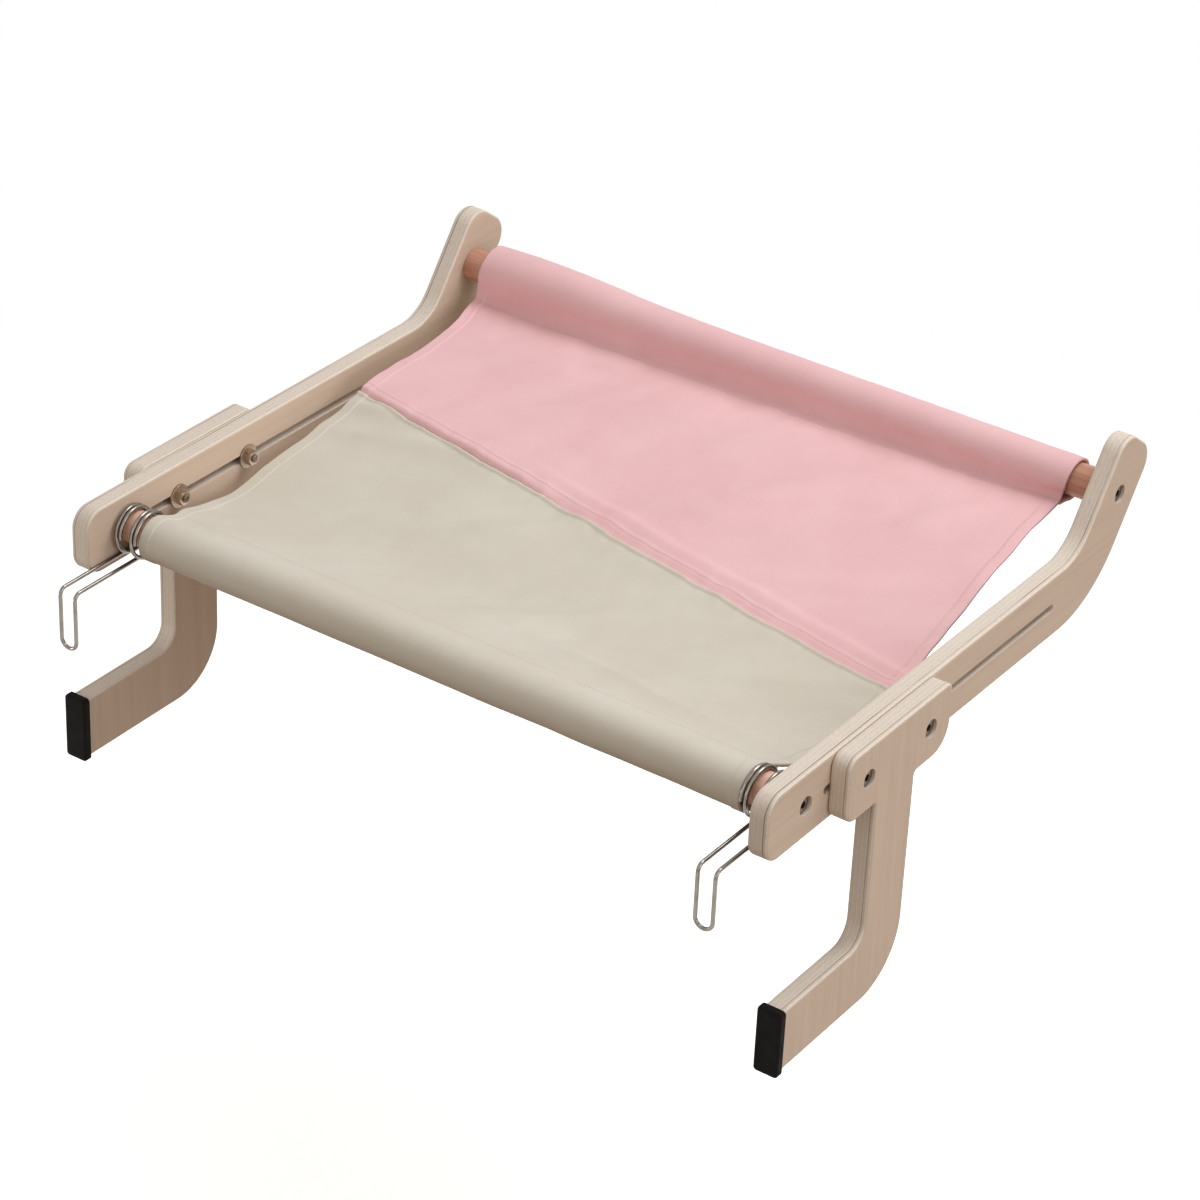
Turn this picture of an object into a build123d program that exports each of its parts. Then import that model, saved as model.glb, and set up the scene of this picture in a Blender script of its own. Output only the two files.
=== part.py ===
from build123d import *
import math
import os

os.makedirs("parts", exist_ok=True)

# Bedside cat hammock, in millimetres.
#
# Two bent plywood side arms carry a front and a rear dowel, and a two-tone
# canvas seat hangs on the dowels by its sleeves. The arms' undersides lie on a
# bed's side board or a window sill. A plywood leg is clamped to the outer face
# of each arm by two bolts through a long slot, so that it can be set to the
# depth of the board, and a rubber pad on its toe presses on the board's face.
# Two wire hooks turn on the front dowel.
#
# +X runs to the right along the dowels, +Y to the back and +Z up. The origin is
# at mid width, under the front dowel, level with the arms' undersides. Pieces
# are drawn for the right side, and the left side's are their mirror images.

# ---------------------------------------------------------------- boards
side_gap = 550.0                 # between the arms' inner faces
board_thickness = 15.0           # plywood
edge_round = 2.0                 # eased edges of the boards
running_gap = 0.1                # between an arm and what slides on it

# ---------------------------------------------------------------- side arms
arm_width = 50.0
arm_front_overhang = 44.0        # front dowel's axis to the arm's front end
arm_corner_run = 359.0           # front dowel's axis to the centre line's corner
arm_bend_angle = 54.0            # degrees, from level up to the raised end
arm_bend_radius = 40.0           # inside of the bend
rear_dowel_run = 65.5            # centre line's corner to the rear dowel's axis
arm_tip_overhang = 41.0          # rear dowel's axis to the arm's tip
arm_front_corner = 15.0
arm_tip_corner = 17.0

slot_height = 6.5
slot_front_run = 24.0            # front dowel's axis to the slot's front centre
slot_length = 287.0              # between the centres of the slot's ends

# ---------------------------------------------------------------- legs
clamp_spacing = 76.0             # between a leg's two bolts
clamp_end_distance = 25.0        # each bolt to its end of the leg's head
leg_place = 52.0                 # front dowel's axis to the front clamp bolt
leg_width = 48.0                 # of the shank and of the toe
leg_head_lip = 36.5              # the head's reach in front of the shank
leg_drop = 159.5                 # arms' undersides to the toe's underside
toe_reach = 96.5                 # shank's front edge to the toe's end
leg_bend_inside = 16.0
leg_bend_outside = 46.0
head_top_front_corner = 10.0
head_top_rear_corner = 7.0
head_low_front_corner = 11.0
head_low_rear_corner = 20.0
head_root_fillet = 3.0
toe_corner = 3.0

# ---------------------------------------------------------------- rubber pads
pad_thickness = 6.0
pad_side_lip = 2.0               # proud of the toe's sides
pad_end_lip = 1.8                # proud of the toe's top and underside
pad_round = 1.8
pad_corner = 3.0

# ---------------------------------------------------------------- dowels
dowel_diameter = 25.0
dowel_end_chamfer = 0.8
insert_bore_depth = 20.0
insert_diameter = 10.0
insert_length = 15.0
insert_clearance = 0.1

# ---------------------------------------------------------------- fasteners
bolt_diameter = 6.0
bolt_hole_clearance = 0.2        # all round, in wood
thread_clearance = 0.1           # all round, in metal
bolt_head_diameter = 13.0
bolt_head_height = 4.0
bolt_head_round = 0.9
bolt_end_chamfer = 0.6
socket_across_flats = 5.0
socket_depth = 2.6
recess_clearance = 0.5           # all round a bolt's head
recess_depth = 6.0
dowel_bolt_length = 25.0
clamp_bolt_end = 1.4             # thread left beyond the nut
washer_diameter = 18.0
washer_thickness = 1.6
washer_round = 0.4
nut_across_flats = 10.0
nut_height = 5.0
nut_corner_cut = 0.7             # a nut's corners lost to its chamfer
overrun = 1.0                    # cuts run past the faces that they open

# ---------------------------------------------------------------- wire hooks
wire_diameter = 3.0
coil_radius = 17.0               # to the wire's centre
coil_pitch = 3.6
coil_slack_back = -2.2           # coil's centre from the dowel's axis, to the back
coil_slack_up = -1.0             # and upwards
outer_coil_margin = 1.8          # arm's inner face to the outer run's centre
hook_spacing = 13.4              # between a hook's two runs
hook_reach = 75.0                # dowel's axis to the hook's upright wires
hook_drop = 38.2                 # arms' undersides to the hook's lowest wire centre
hook_bend_radius = 5.0
coil_quarters = 7                # quarter turns

# ---------------------------------------------------------------- canvas
canvas_coil_gap = 0.8            # between the canvas's edge and the inner coil
canvas_thickness = 2.0
sleeve_gap = 0.3                 # between a sleeve and its dowel
front_sleeve_slack = 2.1         # how much the loose front sleeve hangs down
front_sleeve_lean = 234.0        # degrees, the way in which it hangs
stitch_radius = 0.3              # inside of a sleeve's fold at its stitch line
front_stitch_run = 23.5          # stitch line behind the front dowel's axis
front_stitch_rise = 4.5          # and above it
rear_stitch_lead = 16.5          # stitch line in front of the rear dowel's axis
rear_stitch_drop = 16.5          # and below it
hollow_place_share = 0.192       # of the span between the stitch lines
hollow_depth = 24.6              # below the line between the stitch lines
hollow_radius = 90.0
shoulder_place_share = 0.396
shoulder_depth = 21.5
shoulder_radius = 300.0
seam_left_run = 233.0            # front dowel's axis to the seam's left end
seam_right_run = 161.0

# ---------------------------------------------------------------- worked out
inner_face = side_gap / 2
outer_face = inner_face + board_thickness
leg_face = outer_face + running_gap
leg_outer_face = leg_face + board_thickness
dowel_radius = dowel_diameter / 2
wire_radius = wire_diameter / 2
bend = math.radians(arm_bend_angle)
rise_direction = Vector(math.cos(bend), math.sin(bend))
rise_normal = Vector(-math.sin(bend), math.cos(bend))
front_axis = Vector(0, arm_width / 2)
arm_corner = Vector(arm_corner_run, arm_width / 2)
rear_axis = arm_corner + rise_direction * rear_dowel_run
arm_tip = rear_axis + rise_direction * arm_tip_overhang
clamp_places = (leg_place, leg_place + clamp_spacing)
leg_head_front = leg_place - clamp_end_distance
leg_head_rear = leg_place + clamp_spacing + clamp_end_distance
shank_front = leg_head_front + leg_head_lip
toe_end = shank_front - toe_reach


# ---------------------------------------------------------------- tools
def rod(y, z, radius, x_start, x_end):
    """A round bar along X."""
    profile = Plane.YZ.offset(x_start) * Pos(y, z) * Circle(radius)
    return extrude(profile, x_end - x_start)


def board(points, corner_radii, x_start):
    """A board that stands in the YZ plane: its side outline with rounded
    corners, one board's thickness deep, with its edges eased."""
    outline = make_face(FilletPolyline(*points, radius=corner_radii, close=True))
    blank = extrude(Plane.YZ.offset(x_start) * outline, board_thickness)
    return fillet(blank.faces().filter_by(Axis.X).edges(), edge_round)


def bolt_recess(y, z, x_face):
    """A hole for a bolt, with the recess of its head open at x_face."""
    hole_radius = bolt_diameter / 2 + bolt_hole_clearance
    recess_radius = bolt_head_diameter / 2 + recess_clearance
    hole = rod(y, z, hole_radius, x_face - board_thickness - overrun, x_face)
    recess = rod(y, z, recess_radius, x_face - recess_depth, x_face + overrun)
    return hole + recess


def socket_bolt(y, z, x_seat, length):
    """A bolt along X with a low round head and a hex socket. The head sits at
    x_seat and the shank points to the middle of the width."""
    head = rod(y, z, bolt_head_diameter / 2, x_seat, x_seat + bolt_head_height)
    head = fillet(head.edges().group_by(Axis.X)[-1], bolt_head_round)
    flats = RegularPolygon(socket_across_flats / 2, 6, major_radius=False)
    socket_floor = x_seat + bolt_head_height - socket_depth
    head -= extrude(Plane.YZ.offset(socket_floor) * Pos(y, z) * flats, socket_depth + overrun)
    shank = rod(y, z, bolt_diameter / 2, x_seat - length, x_seat)
    shank = chamfer(shank.edges().group_by(Axis.X)[0], bolt_end_chamfer)
    return head + shank


def hex_nut(y, z, x_seat):
    """A hex nut whose seat is at x_seat, on the inner side of its washer."""
    flats = RegularPolygon(nut_across_flats / 2, 6, major_radius=False)
    block = extrude(Plane.YZ.offset(x_seat - nut_height) * Pos(y, z) * flats, nut_height)
    corner_radius = nut_across_flats / math.sqrt(3)
    crown = rod(y, z, corner_radius, x_seat - nut_height, x_seat)
    crown = chamfer(crown.edges().group_by(Axis.X)[0], nut_corner_cut)
    bore = rod(y, z, bolt_diameter / 2 + thread_clearance, x_seat - nut_height - overrun, x_seat + overrun)
    return (block & crown) - bore


def biarc(start, start_direction, end, end_direction):
    """Two arcs from start to end that meet both directions."""
    chord = end - start
    total = start_direction + end_direction
    spread = 2 * (1 - start_direction.dot(end_direction))
    along = chord.dot(total)
    reach = (math.sqrt(along * along + spread * chord.dot(chord)) - along) / spread
    near = start + start_direction * reach
    far = end - end_direction * reach
    middle = (near + far) * 0.5
    return [
        Edge.make_tangent_arc(start, start_direction, middle),
        Edge.make_tangent_arc(middle, far - near, end),
    ]


def coil(x_run, quarters):
    """The coil of a hook, from the end of its run under the dowel. It turns
    behind, over and in front of the dowel and works towards mid width."""
    centre_y = front_axis.X + coil_slack_back
    centre_z = front_axis.Y + coil_slack_up
    lead = -coil_pitch / (2 * math.pi * coil_radius)
    places = []
    directions = []
    for quarter in range(quarters + 1):
        turn = quarter * math.pi / 2
        places.append(Vector(
            x_run - coil_pitch * quarter / 4,
            centre_y + coil_radius * math.sin(turn),
            centre_z - coil_radius * math.cos(turn),
        ))
        slope = lead if quarter else 0
        directions.append(Vector(slope, math.cos(turn), math.sin(turn)).normalized())
    edges = []
    for quarter in range(quarters):
        edges += biarc(
            places[quarter], directions[quarter],
            places[quarter + 1], directions[quarter + 1],
        )
    return edges


def teardrop(centre, radius, tip, tip_radius):
    """The outline round a circle and a small circle at its tip."""
    return make_hull([
        CenterArc((centre.X, centre.Y), radius, 0, 360).edge(),
        CenterArc((tip.X, tip.Y), tip_radius, 0, 360).edge(),
    ])


def sleeve(centre, inside_radius, tip):
    """A sleeve's section: a closed loop of canvas that is drawn to its stitch
    line."""
    outside = teardrop(centre, inside_radius + canvas_thickness, tip, stitch_radius + canvas_thickness)
    return outside - teardrop(centre, inside_radius, tip, stitch_radius)


# ---------------------------------------------------------------- side arm
half_miter = (arm_width / 2) * math.tan(bend / 2)
arm_points = [
    (-arm_front_overhang, 0),
    (arm_corner.X + half_miter, 0),
    arm_tip - rise_normal * (arm_width / 2),
    arm_tip + rise_normal * (arm_width / 2),
    (arm_corner.X - half_miter, arm_width),
    (-arm_front_overhang, arm_width),
]
arm_radii = [
    arm_front_corner,
    arm_bend_radius + arm_width,
    arm_tip_corner,
    arm_tip_corner,
    arm_bend_radius,
    arm_front_corner,
]
right_arm = board(arm_points, arm_radii, inner_face)
slot = SlotCenterToCenter(slot_length, slot_height)
slot_middle = slot_front_run + slot_length / 2
right_arm -= extrude(
    Plane.YZ.offset(inner_face - overrun) * Pos(slot_middle, arm_width / 2) * slot,
    board_thickness + 2 * overrun,
)
for axis in (front_axis, rear_axis):
    right_arm -= bolt_recess(axis.X, axis.Y, outer_face)

# ---------------------------------------------------------------- leg
leg_points = [
    (leg_head_front, 0),
    (leg_head_front, arm_width),
    (leg_head_rear, arm_width),
    (leg_head_rear, 0),
    (shank_front + leg_width, 0),
    (shank_front + leg_width, -leg_drop),
    (toe_end, -leg_drop),
    (toe_end, leg_width - leg_drop),
    (shank_front, leg_width - leg_drop),
    (shank_front, 0),
]
leg_radii = [
    head_low_front_corner,
    head_top_front_corner,
    head_top_rear_corner,
    head_low_rear_corner,
    head_root_fillet,
    leg_bend_outside,
    toe_corner,
    toe_corner,
    leg_bend_inside,
    head_root_fillet,
]
right_leg = board(leg_points, leg_radii, leg_face)
for place in clamp_places:
    right_leg -= bolt_recess(place, arm_width / 2, leg_outer_face)

# ---------------------------------------------------------------- rubber pad
pad_outline = RectangleRounded(
    board_thickness + 2 * pad_side_lip, leg_width + 2 * pad_end_lip, pad_corner
)
pad_plane = Plane(
    origin=(leg_face + board_thickness / 2, toe_end, leg_width / 2 - leg_drop),
    x_dir=(1, 0, 0),
    z_dir=(0, -1, 0),
)
right_pad = extrude(pad_plane * pad_outline, pad_thickness)
right_pad = fillet(right_pad.edges().group_by(Axis.Y)[0], pad_round)

# ---------------------------------------------------------------- dowels
def dowel(axis):
    """A dowel between the arms, bored at both ends for its threaded inserts."""
    bar = rod(axis.X, axis.Y, dowel_radius, -inner_face, inner_face)
    bar = chamfer(bar.edges().filter_by(GeomType.CIRCLE), dowel_end_chamfer)
    bore_radius = insert_diameter / 2 + insert_clearance
    bar -= rod(axis.X, axis.Y, bore_radius, inner_face - insert_bore_depth, inner_face + overrun)
    bar -= rod(axis.X, axis.Y, bore_radius, -inner_face - overrun, insert_bore_depth - inner_face)
    return bar


def threaded_insert(axis):
    """A metal sleeve nut in the end of a dowel."""
    body = rod(axis.X, axis.Y, insert_diameter / 2, inner_face - insert_length, inner_face)
    return body - rod(
        axis.X, axis.Y, bolt_diameter / 2 + thread_clearance,
        inner_face - insert_length - overrun, inner_face + overrun,
    )


# ---------------------------------------------------------------- clamp hardware
def washer(y, z):
    """The wide washer on the arm's inner face."""
    seat = inner_face - running_gap
    disc = rod(y, z, washer_diameter / 2, seat - washer_thickness, seat)
    disc = fillet(disc.edges().group_by(Axis.X)[0], washer_round)
    return disc - rod(
        y, z, bolt_diameter / 2 + bolt_hole_clearance,
        seat - washer_thickness - overrun, seat + overrun,
    )


nut_seat = inner_face - running_gap - washer_thickness
clamp_seat = leg_outer_face - recess_depth
clamp_bolt_length = clamp_seat - nut_seat + nut_height + clamp_bolt_end

# ---------------------------------------------------------------- wire hook
outer_run = inner_face - outer_coil_margin
inner_run = outer_run - hook_spacing
coil_bottom_y = front_axis.X + coil_slack_back
run_height = front_axis.Y + coil_slack_up - coil_radius
u_radius = hook_spacing / 2
u_height = u_radius - hook_drop
bend_start = hook_bend_radius - hook_reach
bend_end = run_height - hook_bend_radius

inner_coil_edges = coil(inner_run, coil_quarters)
outer_coil_edges = coil(outer_run, coil_quarters)
hook_edges = [
    Edge.make_line((inner_run, coil_bottom_y, run_height), (inner_run, bend_start, run_height)),
    Edge.make_tangent_arc(
        (inner_run, bend_start, run_height), (0, -1, 0), (inner_run, -hook_reach, bend_end)
    ),
    Edge.make_line((inner_run, -hook_reach, bend_end), (inner_run, -hook_reach, u_height)),
    Edge.make_three_point_arc(
        (inner_run, -hook_reach, u_height),
        (inner_run + u_radius, -hook_reach, -hook_drop),
        (outer_run, -hook_reach, u_height),
    ),
    Edge.make_line((outer_run, -hook_reach, u_height), (outer_run, -hook_reach, bend_end)),
    Edge.make_tangent_arc(
        (outer_run, -hook_reach, bend_end), (0, 0, 1), (outer_run, bend_start, run_height)
    ),
    Edge.make_line((outer_run, bend_start, run_height), (outer_run, coil_bottom_y, run_height)),
]
hook_path = Wire(inner_coil_edges + hook_edges + outer_coil_edges)
free_end = inner_coil_edges[-1]
hook_section = Plane(origin=free_end @ 1, z_dir=(free_end % 1) * -1) * Circle(wire_radius)
right_hook = sweep(hook_section, path=hook_path)

# the least gap between a coil's turns, measured on points along the coil
coil_gaps = []
for edges in (inner_coil_edges, outer_coil_edges):
    points = [edge @ (step / 24) for edge in edges for step in range(24)]
    lengths = [edge.length / 24 for edge in edges for step in range(24)]
    for first in range(len(points)):
        apart = 0
        for second in range(first + 1, len(points)):
            apart += lengths[second - 1]
            if apart > 2 * coil_radius:
                coil_gaps.append((points[first] - points[second]).length - wire_diameter)
print("least gap between a coil's turns", round(min(coil_gaps), 3))
wire_length = sum(edge.length for edge in inner_coil_edges + hook_edges + outer_coil_edges)
print("wire length", round(wire_length, 2), "section times length",
      round(wire_length * math.pi * wire_radius**2, 1), "volume", round(right_hook.volume, 1))

# ---------------------------------------------------------------- canvas
canvas_edge = inner_run - coil_pitch * coil_quarters / 4 - wire_radius - canvas_coil_gap
canvas_width = 2 * canvas_edge
lean = math.radians(front_sleeve_lean)
front_sleeve_centre = front_axis + Vector(math.cos(lean), math.sin(lean)) * front_sleeve_slack
front_stitch = front_axis + Vector(front_stitch_run, front_stitch_rise)
rear_stitch = rear_axis - Vector(rear_stitch_lead, rear_stitch_drop)
span = rear_stitch - front_stitch
hollow = front_stitch + span * hollow_place_share - Vector(0, hollow_depth)
shoulder = front_stitch + span * shoulder_place_share - Vector(0, shoulder_depth)


def seat_line(shift):
    """The seat's line from stitch to stitch, moved across its thickness."""
    line = FilletPolyline(
        front_stitch, hollow, shoulder, rear_stitch, radius=[hollow_radius, shoulder_radius]
    )
    return Pos(0, shift) * line


upper = seat_line(canvas_thickness / 2)
lower = seat_line(-canvas_thickness / 2)
seat_section = make_face([
    *upper.edges(),
    Edge.make_line(upper @ 1, lower @ 1),
    *lower.edges(),
    Edge.make_line(lower @ 0, upper @ 0),
])
sleeve_inside = dowel_radius + sleeve_gap
canvas_section = (
    (seat_section - teardrop(front_sleeve_centre, sleeve_inside + front_sleeve_slack, front_stitch, stitch_radius)
     - teardrop(rear_axis, sleeve_inside, rear_stitch, stitch_radius))
    + sleeve(front_sleeve_centre, sleeve_inside + front_sleeve_slack, front_stitch)
    + sleeve(rear_axis, sleeve_inside, rear_stitch)
)
canvas = extrude(Plane.YZ.offset(-canvas_edge) * canvas_section, canvas_width)
seam = Plane(
    origin=(0, (seam_left_run + seam_right_run) / 2, 0),
    z_dir=(seam_left_run - seam_right_run, canvas_width, 0),
)
front_canvas = split(canvas, bisect_by=seam, keep=Keep.BOTTOM)
rear_canvas = split(canvas, bisect_by=seam, keep=Keep.TOP)

# ---------------------------------------------------------------- all pieces
pieces = {
    "front_dowel": dowel(front_axis),
    "rear_dowel": dowel(rear_axis),
    "front_canvas": front_canvas,
    "rear_canvas": rear_canvas,
}
right_pieces = {
    "arm": right_arm,
    "leg": right_leg,
    "pad": right_pad,
    "hook": right_hook,
}
for name, axis in (("front", front_axis), ("rear", rear_axis)):
    right_pieces[name + "_dowel_bolt"] = socket_bolt(
        axis.X, axis.Y, outer_face - recess_depth, dowel_bolt_length
    )
    right_pieces[name + "_insert"] = threaded_insert(axis)
for name, place in zip(("front", "rear"), clamp_places):
    height = arm_width / 2
    right_pieces[name + "_clamp_bolt"] = socket_bolt(place, height, clamp_seat, clamp_bolt_length)
    right_pieces[name + "_washer"] = washer(place, height)
    right_pieces[name + "_nut"] = hex_nut(place, height, nut_seat)
for name, piece in right_pieces.items():
    pieces["right_" + name] = piece
    pieces["left_" + name] = mirror(piece, about=Plane.YZ)

for name, piece in pieces.items():
    export_step(piece, "parts/" + name + ".step")
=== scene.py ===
"""Dresses the bedside cat hammock: its canvas, wood, wire, rubber and studio.

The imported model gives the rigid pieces. This script sews the canvas seat over
the two dowels, finishes every surface and sets the camera, lamps and floor.
"""

import logging
import math
from dataclasses import dataclass, field
from enum import Enum
from typing import Any, Callable

import bpy
import numpy as np
from mathutils import Matrix, Vector, noise

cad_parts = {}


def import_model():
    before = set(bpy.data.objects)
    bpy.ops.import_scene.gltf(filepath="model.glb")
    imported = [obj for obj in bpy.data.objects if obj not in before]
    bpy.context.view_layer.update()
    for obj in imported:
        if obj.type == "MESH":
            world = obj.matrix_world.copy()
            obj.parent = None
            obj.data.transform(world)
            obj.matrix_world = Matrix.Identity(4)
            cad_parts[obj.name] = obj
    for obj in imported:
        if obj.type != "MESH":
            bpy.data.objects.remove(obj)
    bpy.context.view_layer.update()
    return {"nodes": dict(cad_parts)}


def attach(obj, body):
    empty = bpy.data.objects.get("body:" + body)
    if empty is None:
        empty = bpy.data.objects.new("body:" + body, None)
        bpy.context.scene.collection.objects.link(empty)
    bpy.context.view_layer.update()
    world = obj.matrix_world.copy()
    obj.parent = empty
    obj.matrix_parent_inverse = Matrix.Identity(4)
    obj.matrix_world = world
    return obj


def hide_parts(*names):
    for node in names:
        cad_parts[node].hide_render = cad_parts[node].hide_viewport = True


Pair = tuple[float, float]
Triple = tuple[float, float, float]
Array = np.ndarray
Socket = bpy.types.NodeSocket
Material = bpy.types.Material
Piece = bpy.types.Object

LOG = logging.getLogger("hammock")
MM = 0.001
WHITE = (1, 1, 1, 1)
SCREEN_TOP = 255
# the screen's curve, which is straight up to its knee
KNEE, SLOPE, OFFSET, POWER = 0.04045, 12.92, 0.055, 2.4
# a Mix node's inputs for the share and both colours, and its colour output
MIX_INPUTS, MIX_RESULT = (0, 6, 7), 2


class Side(Enum):
    """The two sides of the hammock, by their word in the names of pieces."""

    LEFT = "left"
    RIGHT = "right"


class End(Enum):
    """The two ends of the hammock, by their word in the names of pieces."""

    FRONT = "front"
    REAR = "rear"


class Grain(Enum):
    """The way in which a board's face grain runs, as a pattern's scale."""

    ALONG_Y = (220, 7, 190)
    ALONG_Z = (220, 190, 9)


# ---- helpers
def tone(screen: Triple) -> tuple[float, ...]:
    """Turn a screen colour into a scene colour.

    Args:
        screen: red, green and blue from 0 to 255.

    Returns:
        Linear red, green and blue from 0 to 1, and an alpha of 1.
    """
    shares = [value / SCREEN_TOP for value in screen]
    linear = [s / SLOPE if s <= KNEE else ((s + OFFSET) / (1 + OFFSET)) ** POWER for s in shares]
    return *linear, 1


def times(values: Triple, share: float) -> Triple:
    """Multiply a colour or a scale by a share."""
    return tuple(value * share for value in values)


def ramp(value: float, low: float, high: float) -> float:
    """Step softly from 0 to 1 while a value goes from low to high."""
    share = min(max((value - low) / (high - low), 0), 1)
    return share * share * (3 - 2 * share)


def bell(value: float, width: float) -> float:
    """Raise a soft bump, which is 1 at zero and small past its width."""
    return math.exp(-((value / width) ** 2))


def wander(x: float, y: float, seed: float) -> float:
    """Wander smoothly over the plane, from about -1 to 1, in each seed's own way."""
    return noise.noise(Vector((x, y, seed)))


# ---- finishes
class NodeBench:
    """Lays out the nodes of one material, or of the world."""

    def __init__(self, name: str, kind: str = "Material") -> None:
        """Open a new material or world with nothing but its output.

        Args:
            name: its name.
            kind: Material or World.
        """
        self.holder = {"Material": bpy.data.materials, "World": bpy.data.worlds}[kind].new(name)
        self.holder.use_nodes = True
        self.tree = self.holder.node_tree
        self.tree.nodes.clear()
        self.output = self.tree.nodes.new(f"ShaderNodeOutput{kind}")

    def add(self, kind: str, output: int | str, inputs: dict[Any, Any], **settings: Any) -> Socket:
        """Add a node, feed it and give one of its outputs.

        Args:
            kind: the node's type.
            output: the output's name or index.
            inputs: a socket, a value or None for each input.
            **settings: the node's properties by name.

        Returns:
            The output.
        """
        node = self.tree.nodes.new(kind)
        for key, value in settings.items():
            setattr(node, key, value)
        for key, value in inputs.items():
            if isinstance(value, Socket):
                self.tree.links.new(value, node.inputs[key])
            elif value is not None:
                node.inputs[key].default_value = value
        return node.outputs[output]

    def coordinates(self, source: str = "Object") -> Socket:
        """Read the piece's own Object, UV or Normal coordinates."""
        return self.add("ShaderNodeTexCoord", source, {})

    def scaled(self, vector: Socket, scale: Triple) -> Socket:
        """Scale a vector along each axis."""
        return self.add("ShaderNodeMapping", 0, {"Vector": vector, "Scale": scale})

    def noise(self, vector: Socket, scale: float | Triple, detail: float = 4,
              roughness: float = 0.55, distortion: float = 0) -> Socket:
        """Add a noise texture.

        Args:
            vector: where it is read.
            scale: its scale, one number or one for each axis.
            detail: its number of finer layers.
            roughness: how strong the finer layers are.
            distortion: how much it is twisted.

        Returns:
            Its value, about 0.5 on average.
        """
        if isinstance(scale, tuple):
            vector, scale = self.scaled(vector, scale), 1
        return self.add("ShaderNodeTexNoise", "Fac", {
            "Vector": vector, "Scale": scale, "Detail": detail,
            "Roughness": roughness, "Distortion": distortion,
        })

    def math(self, operation: str, *values: Any) -> Socket:
        """Reckon with a Math node on sockets and numbers."""
        return self.add("ShaderNodeMath", 0, dict(enumerate(values)), operation=operation)

    def total(self, *terms: tuple[Socket, Any]) -> Socket:
        """Add values up, each times its own weight.

        Args:
            *terms: each value with its weight.

        Returns:
            The sum.
        """
        result = 0
        for value, weight in terms:
            result = self.math("MULTIPLY_ADD", value, weight, result)
        return result

    def span(self, value: Socket, low: float, high: float,
             to_low: float = 0, to_high: float = 1) -> Socket:
        """Map a value softly from between low and high to between to_low and to_high."""
        inputs = dict(enumerate((value, low, high, to_low, to_high)))
        return self.add("ShaderNodeMapRange", 0, inputs, interpolation_type="SMOOTHSTEP")

    def mix(self, share: Socket, first: Any, second: Any) -> Socket:
        """Mix two sockets or screen colours by the second one's share."""
        feed = [tone(each) if isinstance(each, tuple) else each for each in (share, first, second)]
        return self.add("ShaderNodeMix", MIX_RESULT, dict(zip(MIX_INPUTS, feed)), data_type="RGBA")

    def tint(self, colour: Any, other: Any, by: Socket, low: float, high: float,
             most: float = 1, least: float = 0) -> Socket:
        """Lay another colour over one, between its least and its most share, as a value rises."""
        return self.mix(self.span(by, low, high, least, most), colour, other)

    def axis(self, vector: Socket, index: int) -> Socket:
        """Take one number out of a vector."""
        return self.add("ShaderNodeSeparateXYZ", index, {0: vector})

    def bump(self, height: Socket, distance: float, strength: float,
             below: Socket | None = None) -> Socket:
        """Turn a height, of this distance in metres, into a normal on the one below it."""
        inputs = {"Height": height, "Distance": distance, "Strength": strength, "Normal": below}
        return self.add("ShaderNodeBump", 0, inputs)

    def blend(self, share: Socket, first: Socket, second: Socket) -> Socket:
        """Mix two surfaces by the second one's share."""
        return self.add("ShaderNodeMixShader", 0, {0: share, 1: first, 2: second})

    def by_ray(self, lit: Socket, seen: Socket) -> Socket:
        """Show one surface, and light the scene with another.

        Args:
            lit: what gives light to the scene.
            seen: what the camera sees, straight, in a mirror or through glass.

        Returns:
            The surface that is both.
        """
        camera, mirror, glass = (
            self.add("ShaderNodeLightPath", f"Is {kind} Ray", {})
            for kind in ("Camera", "Glossy", "Transmission")
        )
        share = self.math("MAXIMUM", self.math("MAXIMUM", camera, mirror), glass)
        return self.blend(share, lit, seen)

    def shader(self, **sockets: Any) -> Socket:
        """Feed a Principled shader by its inputs' names, with underscores for blanks."""
        inputs = {name.replace("_", " "): value for name, value in sockets.items()}
        return self.add("ShaderNodeBsdfPrincipled", "BSDF", inputs)

    def show(self, surface: Socket) -> Any:
        """Put a surface on the output, and hand the material or the world over."""
        self.tree.links.new(surface, self.output.inputs["Surface"])
        return self.holder

    def finish(self, **sockets: Any) -> Material:
        """Show a Principled shader, and hand the material over."""
        return self.show(self.shader(**sockets))


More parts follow.
